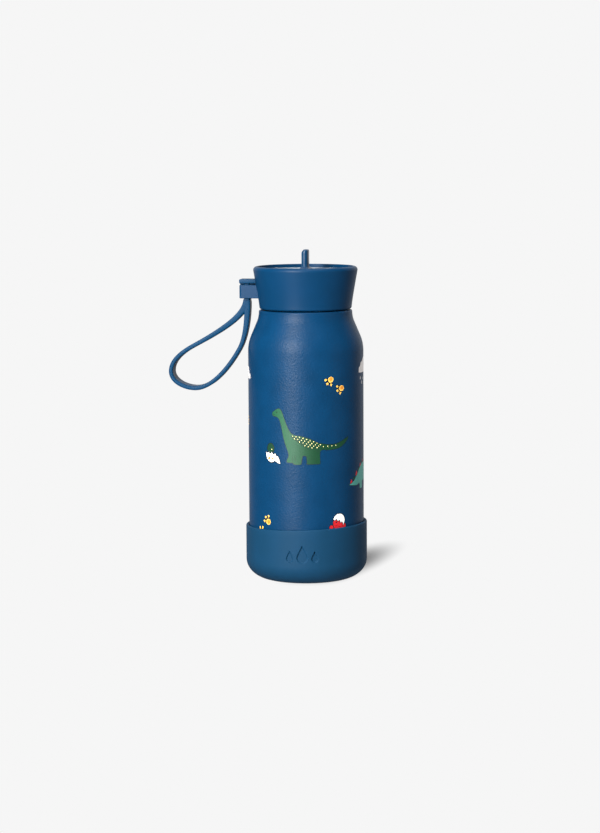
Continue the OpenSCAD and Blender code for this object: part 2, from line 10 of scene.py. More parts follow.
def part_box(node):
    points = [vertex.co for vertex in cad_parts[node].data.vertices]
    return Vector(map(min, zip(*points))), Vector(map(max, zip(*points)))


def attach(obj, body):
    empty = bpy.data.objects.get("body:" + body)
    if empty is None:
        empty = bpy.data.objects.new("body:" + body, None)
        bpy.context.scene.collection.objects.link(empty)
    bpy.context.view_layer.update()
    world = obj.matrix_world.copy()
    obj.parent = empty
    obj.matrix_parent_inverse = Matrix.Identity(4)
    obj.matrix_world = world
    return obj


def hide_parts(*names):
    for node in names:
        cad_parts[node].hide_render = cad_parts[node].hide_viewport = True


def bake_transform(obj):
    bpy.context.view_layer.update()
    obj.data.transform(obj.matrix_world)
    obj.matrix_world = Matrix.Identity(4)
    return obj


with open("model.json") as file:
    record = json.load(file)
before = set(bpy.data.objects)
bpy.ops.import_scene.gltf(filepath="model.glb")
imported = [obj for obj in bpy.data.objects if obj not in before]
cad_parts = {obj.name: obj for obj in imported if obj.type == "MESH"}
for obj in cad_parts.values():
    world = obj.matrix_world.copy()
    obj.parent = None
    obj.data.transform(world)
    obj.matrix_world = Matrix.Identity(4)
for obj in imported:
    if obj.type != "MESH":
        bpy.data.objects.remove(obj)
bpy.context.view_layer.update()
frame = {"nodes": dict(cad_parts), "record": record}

# ---------------------------------------------------------------- sizes, in millimetres
MM = 0.001


def node_box(node):
    """A CAD node's lowest and highest corner, in millimetres."""
    low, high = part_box(node)
    return [v / MM for v in low], [v / MM for v in high]


def joint_place(name):
    """A joint's pivot, in millimetres."""
    joint = next(j for j in frame["record"]["behaviour"]["joints"] if j["name"] == name)
    return [v / MM for v in joint["pos_m"]]


SHELL_HIGH = node_box("outer_shell")[1]
LINER_HIGH = node_box("inner_liner")[1]
BOOT_HIGH = node_box("boot")[1]
LID_LOW, LID_HIGH = node_box("lid_shell")
GASKET_HIGH = node_box("neck_gasket")[1]
HEAD_LOW, HEAD_HIGH = node_box("strap_anchor")
HINGE = joint_place("spout_fold")
FLEX = joint_place("loop_flex")

STEEL = 0.6                     # wall of the steel shell
BODY_R = SHELL_HIGH[1]
NECK_TOP = SHELL_HIGH[2]
BEND_R, FLARE_R, SLOPE, LEAN = 23.0, 15.4, 8.6, math.radians(23)
SHOULDER_DROP = (BEND_R + FLARE_R) * (1 - math.cos(LEAN)) + SLOPE * math.sin(LEAN)
SHOULDER_RISE = (BEND_R + FLARE_R) * math.sin(LEAN) + SLOPE * math.cos(LEAN)
LID_GAP = 0.6
SHOULDER_TOP = LID_LOW[2] - LID_GAP
SHOULDER_R = BODY_R - SHOULDER_DROP
EDGE_R = 0.8                    # rounding of the shoulder's top edge
LID_R = SHOULDER_R - 0.3        # radius of the lid's lower edge
RIM_R = LID_HIGH[1]
RIM_ROUND = 2.1                 # rounding of the rim's outer edge
LUG_LOW = LID_LOW[2] + 6.1
LUG_HIGH = LUG_LOW + 7.7
LUG_HALF_W = 6.0
SLOT_HALF_T, SLOT_HALF_W = 2.0, 3.8
NECK_R = LID_R - 5.85
PITCH = 4.0

BOOT_R = BOOT_HIGH[1]
BOOT_TILT = math.tan(math.radians(1.7))
BOOT_TOP = BOOT_HIGH[2] - BOOT_R * BOOT_TILT
BOOT_FLOOR = 2.5
CORNER_W, CORNER_H = 13.9, 11.5

VIEW_AZIMUTH = 7.6              # the front view's direction round the bottle, in degrees


# ---------------------------------------------------------------- materials
ROUGHNESS_SPREAD = 0.04         # how far the grain moves the roughness each way
PATCH_EDGES = (0.32, 0.68)      # noise values between which the two shades melt together


def linear(hex_colour):
    """A hex colour in the linear values that shaders use."""
    values = [int(hex_colour[i:i + 2], 16) / 255 for i in (0, 2, 4)]
    return [v / 12.92 if v <= 0.04045 else ((v + 0.055) / 1.055) ** 2.4 for v in values] + [1.0]


def material(name, light, dark, roughness, grain, depth, patch=90.0, stretch=(1, 1, 1), painted_light_run=None, **fixed):
    """Two shades in soft patches, and a bumpy grain of "grain" mm size and "depth" mm height.

    Given two X positions, the shades instead run from light at the first to dark at the second: painted
    highlight and shade that stand in for light falling from that side.
    """
    mat = bpy.data.materials.new(name)
    mat.use_nodes = True
    nodes, links = mat.node_tree.nodes, mat.node_tree.links
    shader = nodes["Principled BSDF"]
    place = nodes.new("ShaderNodeTexCoord")
    mapping = nodes.new("ShaderNodeMapping")
    mapping.inputs["Scale"].default_value = stretch
    links.new(place.outputs["Object"], mapping.inputs["Vector"])

    def noise(scale, detail):
        node = nodes.new("ShaderNodeTexNoise")
        node.inputs["Scale"].default_value = scale
        node.inputs["Detail"].default_value = detail
        links.new(mapping.outputs["Vector"], node.inputs["Vector"])
        return node

    fine = noise(1 / (grain * MM), 2.0)
    ramp = nodes.new("ShaderNodeValToRGB")
    for stop, position, shade_colour in zip(ramp.color_ramp.elements, PATCH_EDGES, (dark, light)):
        stop.position = position
        stop.color = linear(shade_colour)
    # Painted light: the shades laid along X make the lit side lighter and the shaded side darker.
    if painted_light_run:
        axes = nodes.new("ShaderNodeSeparateXYZ")
        links.new(place.outputs["Object"], axes.inputs["Vector"])
        run = nodes.new("ShaderNodeMapRange")
        run.inputs["From Min"].default_value = painted_light_run[1] * MM
        run.inputs["From Max"].default_value = painted_light_run[0] * MM
        links.new(axes.outputs["X"], run.inputs["Value"])
        links.new(run.outputs["Result"], ramp.inputs["Fac"])
    else:
        links.new(noise(patch, 3.0).outputs["Fac"], ramp.inputs["Fac"])
    links.new(ramp.outputs["Color"], shader.inputs["Base Color"])
    spread = nodes.new("ShaderNodeMapRange")
    spread.inputs["To Min"].default_value = roughness - ROUGHNESS_SPREAD
    spread.inputs["To Max"].default_value = roughness + ROUGHNESS_SPREAD
    links.new(fine.outputs["Fac"], spread.inputs["Value"])
    links.new(spread.outputs["Result"], shader.inputs["Roughness"])
    bump = nodes.new("ShaderNodeBump")
    bump.inputs["Strength"].default_value = 1.0
    bump.inputs["Distance"].default_value = depth * MM
    links.new(fine.outputs["Fac"], bump.inputs["Height"])
    links.new(bump.outputs["Normal"], shader.inputs["Normal"])
    for socket, value in fixed.items():
        shader.inputs[socket.replace("_", " ")].default_value = value
    return mat


PAINT = material("powder_coat", "02365a", "013254", 0.42, 1.0, 0.15, Specular_IOR_Level=0.16)
BARE_STEEL = material("brushed_steel", "c9c8c4", "b4b3b0", 0.28, 0.5, 0.004, stretch=(1, 1, 0.06),
                      Metallic=1.0)
BOOT_SILICONE = material("boot_silicone", "0c3a58", "0b3854", 0.6, 0.5, 0.012, Specular_IOR_Level=0.14)
DECK_PLASTIC = material("deck_plastic", "023457", "023253", 0.3, 0.6, 0.003, Specular_IOR_Level=1.0,
                        Sheen_Weight=0.45, Sheen_Roughness=0.3)
LID_PLASTIC = material("lid_plastic", "023457", "023253", 0.42, 0.6, 0.006, Specular_IOR_Level=0.15)
SPOUT_PLASTIC = material("spout_plastic", "05375a", "043556", 0.36, 0.5, 0.005, Specular_IOR_Level=0.3)
MOUTH_SILICONE = material("mouth_silicone", "05375a", "043556", 0.34, 0.4, 0.006, Specular_IOR_Level=0.4)
LOOP_SILICONE = material("loop_silicone", "073859", "063655", 0.4, 0.5, 0.008, Specular_IOR_Level=0.08)
CORE_PLASTIC = material("core_plastic", "e2e6e8", "d9dee1", 0.4, 0.6, 0.006)
SEAL_SILICONE = material("seal_silicone", "e6e6e2", "dcdcd6", 0.45, 0.5, 0.008)
STRAW_PLASTIC = material("straw_plastic", "e4eaed", "dbe3e7", 0.3, 0.8, 0.004)
SEAL_GLASS = material("seal_glass", "2c2c30", "232327", 0.2, 0.8, 0.006)
GETTER_METAL = material("getter_metal", "5c5c60", "4b4b4f", 0.7, 0.2, 0.03)

SLOT_MATERIALS = {
    "shell_paint": PAINT, "steel": BARE_STEEL, "seal_glass": SEAL_GLASS, "getter_metal": GETTER_METAL,
    "boot_silicone": BOOT_SILICONE, "lid_plastic": LID_PLASTIC, "core_plastic": CORE_PLASTIC,
    "seal_silicone": SEAL_SILICONE, "straw_plastic": STRAW_PLASTIC,
    "mouthpiece_silicone": MOUTH_SILICONE, "loop_silicone": LOOP_SILICONE,
}


# ---------------------------------------------------------------- mesh helpers
def arc(cx, cz, rx, rz, a0, a1, n):
    """Points along an ellipse's arc, its angles in degrees."""
    angles = [math.radians(a0 + (a1 - a0) * i / n) for i in range(n + 1)]
    return [(cx + rx * math.cos(a), cz + rz * math.sin(a)) for a in angles]


def cubic(p, t):
    """A point of the cubic curve with the four points p."""
    s = 1 - t
    return tuple(s ** 3 * a + 3 * s * s * t * b + 3 * s * t * t * c + t ** 3 * d for a, b, c, d in zip(*p))


def smooth_step(low, high, value):
    """0 below low, 1 above high, with a soft change between them."""
    t = min(1.0, max(0.0, (value - low) / (high - low)))
    return t * t * (3 - 2 * t)


def flatten_faces(obj):
    """Lets big flat faces keep their own direction beside small rounded edges."""
    modify(obj, "WEIGHTED_NORMAL", keep_sharp=True, weight=100)


def place_piece(obj, body, nodes=()):
    """Puts a finished piece on its body, and lets it stand for CAD nodes."""
    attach(obj, body)
    if nodes:
        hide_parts(*nodes)
    return obj


def piece(name, bm, mats, sharp=35):
    """A new object from a bmesh in millimetres, shaded smooth below the "sharp" angle."""
    bmesh.ops.recalc_face_normals(bm, faces=bm.faces)
    bmesh.ops.scale(bm, vec=(MM, MM, MM), verts=bm.verts)
    mesh = bpy.data.meshes.new(name)
    bm.to_mesh(mesh)
    bm.free()
    for mat in mats:
        mesh.materials.append(mat)
    shade(mesh, sharp)
    obj = bpy.data.objects.new(name, mesh)
    bpy.context.collection.objects.link(obj)
    return obj


def shade(mesh, sharp):
    """Smooth shading, with edges over the "sharp" angle kept crisp."""
    mesh.polygons.foreach_set("use_smooth", [True] * len(mesh.polygons))
    mesh.set_sharp_from_angle(angle=math.radians(sharp))


def lathe(profile, angles):
    """A solid of revolution from a closed outline of (radius, height), at the given angles."""
    bm = bmesh.new()
    rings = []
    for r, z in profile:
        if r < 1e-6:
            rings.append([bm.verts.new((0, 0, z))])
        else:
            rings.append([bm.verts.new((r * math.sin(a), -r * math.cos(a), z)) for a in angles])
    count = len(angles)
    for low, high in zip(rings, rings[1:] + rings[:1]):
        for i in range(count):
            j = (i + 1) % count
            corners = [low[i % len(low)], low[j % len(low)], high[j % len(high)], high[i % len(high)]]
            face = list(dict.fromkeys(corners))
            if len(face) > 2:
                bm.faces.new(face)
    return bm


def even_angles(count):
    """Angles of a full turn, the last one short of the first."""
    return [2 * math.pi * i / count for i in range(count)]


def bridge(bm, rings, closed=False):
    """Faces between rings of as many points each; closed joins the last ring to the first."""
    for low, high in zip(rings, rings[1:] + (rings[:1] if closed else [])):
        for k in range(len(low)):
            n = (k + 1) % len(low)
            bm.faces.new((low[k], low[n], high[n], high[k]))


def modify(obj, kind, **settings):
    """Adds a modifier and applies it to the mesh at once."""
    mod = obj.modifiers.new(kind.lower(), kind)
    for key, value in settings.items():
        setattr(mod, key, value)
    graph = bpy.context.evaluated_depsgraph_get()
    mesh = bpy.data.meshes.new_from_object(obj.evaluated_get(graph))
    obj.modifiers.clear()
    old, obj.data = obj.data, mesh
    bpy.data.meshes.remove(old)


def combine(obj, other, operation):
    """A boolean of two objects, which uses the second one up."""
    modify(obj, "BOOLEAN", object=other, operation=operation, solver="EXACT")
    bpy.data.objects.remove(other)


def box_mesh(low, high):
    """A box from its two corners, in a bmesh."""
    bm = bmesh.new()
    bmesh.ops.create_cube(bm, size=1)
    for v in bm.verts:
        v.co = [low[i] + (v.co[i] + 0.5) * (high[i] - low[i]) for i in range(3)]
    return bm


def round_edges(bm, edges, width, segments):
    """Rounds some edges of a bmesh."""
    bmesh.ops.bevel(bm, geom=edges, offset=width, offset_type="OFFSET", segments=segments, profile=0.5,
                    affect="EDGES", clamp_overlap=True)


def refine(node, width, segments, mat, body):
    """A CAD node's own shape with its sharp edges rounded, as moulded or turned parts have them."""
    bm = bmesh.new()
    bm.from_mesh(frame["nodes"][node].data)
    bmesh.ops.scale(bm, vec=(1 / MM, 1 / MM, 1 / MM), verts=bm.verts)
    bmesh.ops.remove_doubles(bm, verts=bm.verts, dist=0.002)
    bmesh.ops.dissolve_limit(bm, angle_limit=math.radians(0.5), verts=bm.verts, edges=bm.edges)
    crisp = [e for e in bm.edges if e.is_manifold and e.calc_face_angle() > math.radians(32)]
    round_edges(bm, crisp, width, segments)
    for face in bm.faces:
        face.material_index = 0
    obj = piece(node + "_detail", bm, [mat])
    flatten_faces(obj)
    return place_piece(obj, body, [node])


# ---------------------------------------------------------------- steel shell
def shell_outline(inset):
    """The shell's outline a distance inside its outer face, from the base up to the neck's top."""
    start = SHOULDER_TOP - EDGE_R - SHOULDER_RISE
    lean = math.degrees(LEAN)
    corner = CORNER_W - 1.8 - inset
    return (arc(BOOT_R - CORNER_W, CORNER_H, corner, CORNER_H - BOOT_FLOOR - inset, 270, 360, 20)
            + [(BODY_R - inset, z) for z in (30.0, 50.0, 70.0, 90.0, 110.0)]
            + arc(BODY_R - BEND_R, start, BEND_R - inset, BEND_R - inset, 0, lean, 16)
            + arc(SHOULDER_R + FLARE_R, SHOULDER_TOP - EDGE_R, FLARE_R + inset, FLARE_R + inset,
                  180 + lean, 180, 14)
            + arc(SHOULDER_R - EDGE_R, SHOULDER_TOP - EDGE_R, EDGE_R - inset, EDGE_R - inset, 0, 90, 6)
            + arc(NECK_R + 0.8, SHOULDER_TOP + 0.8, 0.8 + inset, 0.8 + inset, 270, 180, 5)
            + [(NECK_R - inset, NECK_TOP)])


def make_shell():
    """Painted body with a bare steel neck."""
    bm = lathe(shell_outline(0) + shell_outline(STEEL)[::-1], even_angles(256))
    for face in bm.faces:
        middle = face.calc_center_median()
        bare = middle.z > SHOULDER_TOP - 1 and math.hypot(middle.x, middle.y) < NECK_R + 0.3
        face.material_index = 1 if bare else 0
    obj = piece("shell", bm, [PAINT, BARE_STEEL])
    place_piece(obj, "bottle", ["outer_shell"])


def make_thread():
    """The neck's rolled screw thread: one rounded ridge along a right-hand helix."""
    turns, height, half = 1.25, 1.2, 0.95
    start = NECK_TOP + STEEL - 2.6 - PITCH * turns
    steps, around = 150, 9
    bm = bmesh.new()
    rings = []
    for i in range(steps + 1):
        angle = 2 * math.pi * turns * i / steps
        rise = math.sin(math.pi / 2 * min(1, 8 * min(i, steps - i) / steps))
        ring = []
        for k in range(around):
            side = -1 + 2 * k / (around - 1)
            r = NECK_R - 0.3 + (height + 0.3) * rise * math.cos(side * math.pi / 2) ** 0.6
            z = start + PITCH * turns * i / steps + half * side
            ring.append(bm.verts.new((r * math.cos(angle), r * math.sin(angle), z)))
        rings.append(ring)
    bridge(bm, rings)
    bm.faces.new(rings[0])
    bm.faces.new(rings[-1])
    place_piece(piece("neck_thread", bm, [BARE_STEEL], 50), "bottle")


# ---------------------------------------------------------------- boot
DROP_PLACE = (-2.7, 18.0)       # the emblem's middle round the boot and above the table
DROP_DEPTH = 0.8
DROPS = [(0.0, -1.2, 3.0), (-7.4, -1.8, 1.9), (7.4, -1.8, 1.9)]     # place and belly radius of each


def drop_distance(u, v, size):
    """Distance outside a water drop's outline: a round belly under a pointed tip."""
    belly = math.hypot(u, v) - size
    tip = 2.3 * size
    slant = math.asin(size / tip)
    flank = abs(u) * math.cos(slant) + v * math.sin(slant) - size
    above = size * math.sin(slant) - v
    return min(belly, max(flank, above))


def emblem_depth(u, v):
    """How deep the emblem of three drops is pressed in at a point."""
    away = min(drop_distance(u - x, v - z, size) for x, z, size in DROPS)
    return DROP_DEPTH * (1 - smooth_step(-0.18, 0.18, away))


def make_boot():
    """Silicone boot with a rounded, slanting top edge, a ring groove below and a pressed emblem."""
    wall = BOOT_R - BODY_R
    lip = 0.75
    centre = BOOT_R - CORNER_W
    groove = centre - 6
    dense = [12.2 + 0.28 * i for i in range(46)]
    profile = ([(0, 0), (groove, 0), (groove + 0.15, 0.8), (groove + 1.35, 0.8), (groove + 1.5, 0)]
               + arc(centre, CORNER_H, CORNER_W, CORNER_H, 270, 360, 24)
               + [(BOOT_R, z) for z in dense + [27.0, 29.0]]
               + arc(BOOT_R - lip, BOOT_TOP - lip, lip, lip, 0, 90, 6)
               + arc(BODY_R + 0.85, BOOT_TOP - 0.85, 0.8, 0.85, 90, 180, 5)
               + [(BODY_R + 0.02, z) for z in (BOOT_TOP - 2, 24.0, 17.0)]
               + arc(centre, CORNER_H, CORNER_W - wall, CORNER_H - BOOT_FLOOR, 360, 270, 16)
               + [(0, BOOT_FLOOR)])
    middle = math.radians(VIEW_AZIMUTH) + DROP_PLACE[0] / BOOT_R
    reach = 11.5 / BOOT_R
    fine = [middle - reach + 2 * reach * i / 84 for i in range(85)]
    coarse = [middle + reach + (2 * math.pi - 2 * reach) * i / 220 for i in range(1, 220)]
    bm = lathe(profile, fine + coarse)
    for v in bm.verts:
        r = math.hypot(v.co.x, v.co.y)
        if r > BOOT_R - 0.05 and 12 < v.co.z < 25:
            around = math.atan2(v.co.x, -v.co.y) - middle
            around = (around + math.pi) % (2 * math.pi) - math.pi
            depth = emblem_depth(around * BOOT_R, v.co.z - DROP_PLACE[1])
            v.co.x *= 1 - depth / r
            v.co.y *= 1 - depth / r
        if r > centre:
            v.co.z += BOOT_TILT * v.co.x * smooth_step(25, BOOT_TOP - 1, v.co.z)
    place_piece(piece("silicone_boot", bm, [BOOT_SILICONE], 50), "bottle", ["boot"])


# ---------------------------------------------------------------- lid
def lid_wall(t):
    """A point of the lid's flaring outer wall, from its lower corner up to the rim."""
    return cubic([(LID_R, LID_LOW[2] + 1.2), (LID_R + 0.5, LID_LOW[2] + 6.6),
                  (RIM_R - 0.65, LID_HIGH[2] - 6), (RIM_R, LID_HIGH[2] - RIM_ROUND)], t)


def make_lid_shell():
    """The lid's outer wall with its lug and the lug's slot."""
    top, bottom = LID_HIGH[2], LID_LOW[2]
    deck_high = node_box("lid_deck")[1]
    core_high = node_box("lid_core")[1]
    bore = node_box("lid_core")[0][2] - 0.8
    inner_r, ledge_r, rim_in = LID_R - 2.2, core_high[1] + 0.1, deck_high[1] + 0.1
    ledge_z, deck_under = GASKET_HIGH[2] + 1.7, deck_high[2] - 1.2
    profile = ([(inner_r, bore)]
               + arc(LID_R - 1.2, bottom + 1.2, 1.2, 1.2, 270, 360, 8)
               + [lid_wall(i / 24) for i in range(1, 25)]
               + arc(RIM_R - RIM_ROUND, top - RIM_ROUND, RIM_ROUND, RIM_ROUND, 0, 90, 12)[1:]
               + arc(rim_in + 0.35, top - 0.35, 0.35, 0.35, 90, 180, 5)
               + [(rim_in, deck_under), (ledge_r, deck_under), (ledge_r, ledge_z), (inner_r, ledge_z)])
    wall = piece("lid_shell_detail", lathe(profile, even_angles(256)), [LID_PLASTIC])
    bm = box_mesh((LID_LOW[0], -LUG_HALF_W, LUG_LOW), (-LID_R + 0.6, LUG_HALF_W, LUG_HIGH))
    upright = [e for e in bm.edges if all(v.co.x < LID_LOW[0] + 1 for v in e.verts)
               and abs(e.verts[0].co.z - e.verts[1].co.z) > 1]
    round_edges(bm, upright, 1.5, 8)
    rims = [e for e in bm.edges if all(v.co.z > LUG_HIGH - 0.01 for v in e.verts)
            or all(v.co.z < LUG_LOW + 0.01 for v in e.verts)]
    round_edges(bm, rims, 0.35, 3)
    lug = piece("lug", bm, [LID_PLASTIC])
    slot = box_mesh((FLEX[0] - SLOT_HALF_T, -SLOT_HALF_W, LUG_LOW - 2),
                    (FLEX[0] + SLOT_HALF_T, SLOT_HALF_W, LUG_HIGH + 2))
    combine(lug, piece("slot", slot, []), "DIFFERENCE")
    combine(wall, lug, "UNION")
    shade(wall.data, 35)
    flatten_faces(wall)
    place_piece(wall, "lid", ["lid_shell"])


# ---------------------------------------------------------------- spout
SPOUT_T, SPOUT_W = 3.8, 9.0
CHANNEL_T, CHANNEL_W = 1.6, 4.0
TIP_BACK, TIP_FRONT = 2.3, 0.7  # roundings of the tip's two corners
OVAL_POINTS = 64


def oval_ring(bm, t, w, z, left=None, right=None, y_scale=1.0):
    """A ring of points round a flat oval, squeezed between the left and right X limits."""
    left = -t / 2 if left is None else left
    right = t / 2 if right is None else right
    ring = []
    for a in even_angles(OVAL_POINTS):
        x = t / 2 * math.cos(a)
        y = t / 2 * math.sin(a) + math.copysign((w - t) / 2, math.sin(a)) * min(1, 5 * abs(math.sin(a)))
        x = left + (x + t / 2) / t * (right - left)
        ring.append(bm.verts.new((x, y * y_scale, z)))
    return ring


def make_mouthpiece():
    """Soft sleeve of the spout: flared foot, flat shaft, a tip rounder at the back, and its channel."""
    foot, tip = HINGE[2] + 3.6, HINGE[2] + 14.2
    bm = bmesh.new()
    rings = []
    for i in range(13):
        flare = 1.5 * (1 - smooth_step(0, 1, i / 12)) ** 1.6
        rings.append(oval_ring(bm, SPOUT_T + 0.12 * flare, SPOUT_W + flare, foot + 2.6 * i / 12))
    rings.append(oval_ring(bm, SPOUT_T, SPOUT_W, tip - 5))
    for i in range(15):
        drop = TIP_BACK * (1 - math.sin(math.pi / 2 * i / 14))
        back = TIP_BACK - math.sqrt(max(0, TIP_BACK ** 2 - (TIP_BACK - drop) ** 2))
        low = max(0.0, TIP_FRONT - drop)
        front = TIP_FRONT - math.sqrt(max(0, TIP_FRONT ** 2 - low ** 2))
        rings.append(oval_ring(bm, SPOUT_T, SPOUT_W, tip - drop,
                               left=-SPOUT_T / 2 + back * 0.8, right=SPOUT_T / 2 - front,
                               y_scale=1 - 2 * (front + 0.15 * back) / SPOUT_W))
    rings.append(oval_ring(bm, CHANNEL_T + 0.3, CHANNEL_W + 0.3, tip))
    rings.append(oval_ring(bm, CHANNEL_T, CHANNEL_W, tip - 0.2))
    rings.append(oval_ring(bm, CHANNEL_T, CHANNEL_W, foot))
    bridge(bm, rings, closed=True)
    sleeve = piece("spout_sleeve", bm, [MOUTH_SILICONE], 50)
    place_piece(sleeve, "spout", ["mouthpiece"])


# ---------------------------------------------------------------- carrying loop
BAND_CURVES = [
    [(-0.5, 3.6), (-1.0, -4.5), (-11.0, -12.2), (-31.5, -23.2)],
    [(-31.5, -23.2), (-38.8, -27.1), (-45.0, -32.0), (-45.0, -38.3)],
    [(-45.0, -38.3), (-45.0, -44.4), (-37.2, -48.1), (-30.6, -48.1)],
    [(-30.6, -48.1), (-21.0, -48.1), (-10.8, -36.0), (-4.4, -24.4)],
    [(-4.4, -24.4), (-1.1, -18.0), (0.2, -8.0), (0.3, 2.5)],
]


BAND_T = (2.4, 3.4)             # the band's thickness at its middle and at its two ends
BAND_CORNER = 0.6
HEAD_REACH = 3.0                # how far the head runs into the lid's wall before it is cut to it
HEAD_T = 2.3
VOXEL = 0.25


def band_width(x):
    """The band's width, which grows away from the stem."""
    return 7.2 + 3.8 * smooth_step(2, 26, -x)


def band_sweep(points):
    """The loop's flat band with rounded edges, along points of (X, Z) from the swing axis."""
    bm = bmesh.new()
    rings = []
    for i, (x, z) in enumerate(points):
        before, after = points[max(i - 1, 0)], points[min(i + 1, len(points) - 1)]
        way = Vector((after[0] - before[0], 0, after[1] - before[1])).normalized()
        out = Vector((-way.z, 0, way.x))
        half_w = band_width(x) / 2
        half_t = (BAND_T[0] + (BAND_T[1] - BAND_T[0]) * smooth_step(-26, -2, z)) / 2
        ring = []
        for a0, side_w, side_t in ((0, 1, 1), (90, -1, 1), (180, -1, -1), (270, 1, -1)):
            for step in range(5):
                a = math.radians(a0 + 22.5 * step)
                across = side_w * (half_w - BAND_CORNER) + BAND_CORNER * math.cos(a)
                through = side_t * (half_t - BAND_CORNER) + BAND_CORNER * math.sin(a)
                ring.append(bm.verts.new(Vector((x, across, z)) + out * through))
        rings.append(ring)
    bridge(bm, rings)
    bm.faces.new(rings[0][::-1])
    bm.faces.new(rings[-1])
    return bm


def join(name, parts):
    """One object from several, which may overlap."""
    bm = bmesh.new()
    for part in parts:
        bm.from_mesh(part.data)
        bpy.data.objects.remove(part)
    bmesh.ops.scale(bm, vec=(1 / MM, 1 / MM, 1 / MM), verts=bm.verts)
    return piece(name, bm, [])


def rounded_box(low, high, radius):
    """A box with all its edges rounded, in a bmesh."""
    bm = box_mesh(low, high)
    round_edges(bm, list(bm.edges), radius, 4)
    return bm


def make_loop():
    """The carrying loop in one piece: head, stem and band, fused as one moulding."""
    points = [cubic(c, i / 24) for c in BAND_CURVES for i in range(24)] + [BAND_CURVES[-1][3]]
    band = band_sweep(points)
    bmesh.ops.translate(band, verts=band.verts, vec=FLEX)
    stem = rounded_box((FLEX[0] - 1.8, -3.6, FLEX[2] - 4.6), (FLEX[0] + 1.8, 3.6, HEAD_HIGH[2] - 0.5), 0.8)
    head_z, head_x = HEAD_HIGH[2] - HEAD_T, HEAD_HIGH[0] + HEAD_REACH
    head = rounded_box((HEAD_LOW[0], HEAD_LOW[1], head_z), (head_x, HEAD_HIGH[1], HEAD_HIGH[2]), 0.45)
    foot = rounded_box((HEAD_LOW[0] + 0.1, HEAD_LOW[1] + 3, LUG_HIGH + 0.05),
                       (head_x, HEAD_HIGH[1] - 3, head_z + 0.8), 0.2)
    head = piece("head", head, [])
    combine(head, piece("foot", foot, []), "UNION")
    wall = [(0, LID_LOW[2])] + [(r + 0.12, z) for r, z in (lid_wall(i / 12) for i in range(13))]
    cutter = piece("wall_cut", lathe(wall + [(0, LID_HIGH[2] + 3)], even_angles(128)), [])
    combine(head, cutter, "DIFFERENCE")
    strap = join("strap", [piece("band", band, []), piece("stem", stem, [])])
    modify(strap, "REMESH", mode="VOXEL", voxel_size=VOXEL * MM)
    modify(strap, "SMOOTH", factor=0.5, iterations=12)
    loop = join("carry_loop", [strap, head])
    shade(loop.data, 40)
    loop.data.materials.clear()
    loop.data.materials.append(LOOP_SILICONE)
    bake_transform(loop)
    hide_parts("strap_anchor", "strap_loop")


# ---------------------------------------------------------------- printed drawings
INK_SHADES = {                  # light and dark shade of each ink; green's two are the lit and shaded ends of its painted light run
    "white": ("fbfaf7", "f2f0ec"), "cloud": ("f0ebe9", "e4dfde"), "green": ("0f5735", "044023"),
    "dark_green": ("084026", "073a22"), "cream": ("f4eaa8", "ecdf94"), "yellow": ("f2c45c", "ebba50"),
    "orange": ("dc8a2c", "d38126"), "red": ("d31220", "c01019"), "dark_red": ("8d1119", "810f16"),
    "teal": ("4fa79c", "45998e"), "black": ("0b1b28", "081620"),
}
# Green ink runs from light at X -22 mm to dark at X 24 mm: painted highlight and shade for light falling
# from the left.
INK_PAINTED_LIGHT_RUNS = {"green": (-22, 24)}
INK = {name: material("ink_" + name, *shades, 0.5, 0.3, 0.006, painted_light_run=INK_PAINTED_LIGHT_RUNS.get(name))
       for name, shades in INK_SHADES.items()}
INK_STEP = 0.015                # thickness of one layer of ink, in millimetres


def smooth_loop(points, steps=5):
    """A closed curve through the points; a point with a third value stays a sharp corner."""
    out, count = [], len(points)
    for i in range(count):
        p0, p1, p2, p3 = (points[(i + k) % count] for k in (-1, 0, 1, 2))
        t1 = (0, 0) if len(p1) > 2 else ((p2[0] - p0[0]) / 2, (p2[1] - p0[1]) / 2)
        t2 = (0, 0) if len(p2) > 2 else ((p3[0] - p1[0]) / 2, (p3[1] - p1[1]) / 2)
        for k in range(steps):
            t = k / steps
            a, b = 2 * t ** 3 - 3 * t * t + 1, t ** 3 - 2 * t * t + t
            c, d = -2 * t ** 3 + 3 * t * t, t ** 3 - t * t
            out.append(tuple(a * p1[j] + b * t1[j] + c * p2[j] + d * t2[j] for j in (0, 1)))
    return out


def widened(outline, width):
    """The outline moved outwards by a width."""
    area = sum(a[0] * b[1] - b[0] * a[1] for a, b in zip(outline, outline[1:] + outline[:1]))
    side = width if area > 0 else -width
    out = []
    for before, here, after in zip(outline[-1:] + outline[:-1], outline, outline[1:] + outline[:1]):
        u, v = after[0] - before[0], after[1] - before[1]
        length = math.hypot(u, v) or 1.0
        out.append((here[0] + side * v / length, here[1] - side * u / length))
    return out


def ellipse(x, y, rx, ry, turn=0.0, count=20):
    """An ellipse's outline, turned by some degrees."""
    c, s = math.cos(math.radians(turn)), math.sin(math.radians(turn))
    ring = [(rx * math.cos(a), ry * math.sin(a)) for a in even_angles(count)]
    return [(x + u * c - v * s, y + u * s + v * c) for u, v in ring]


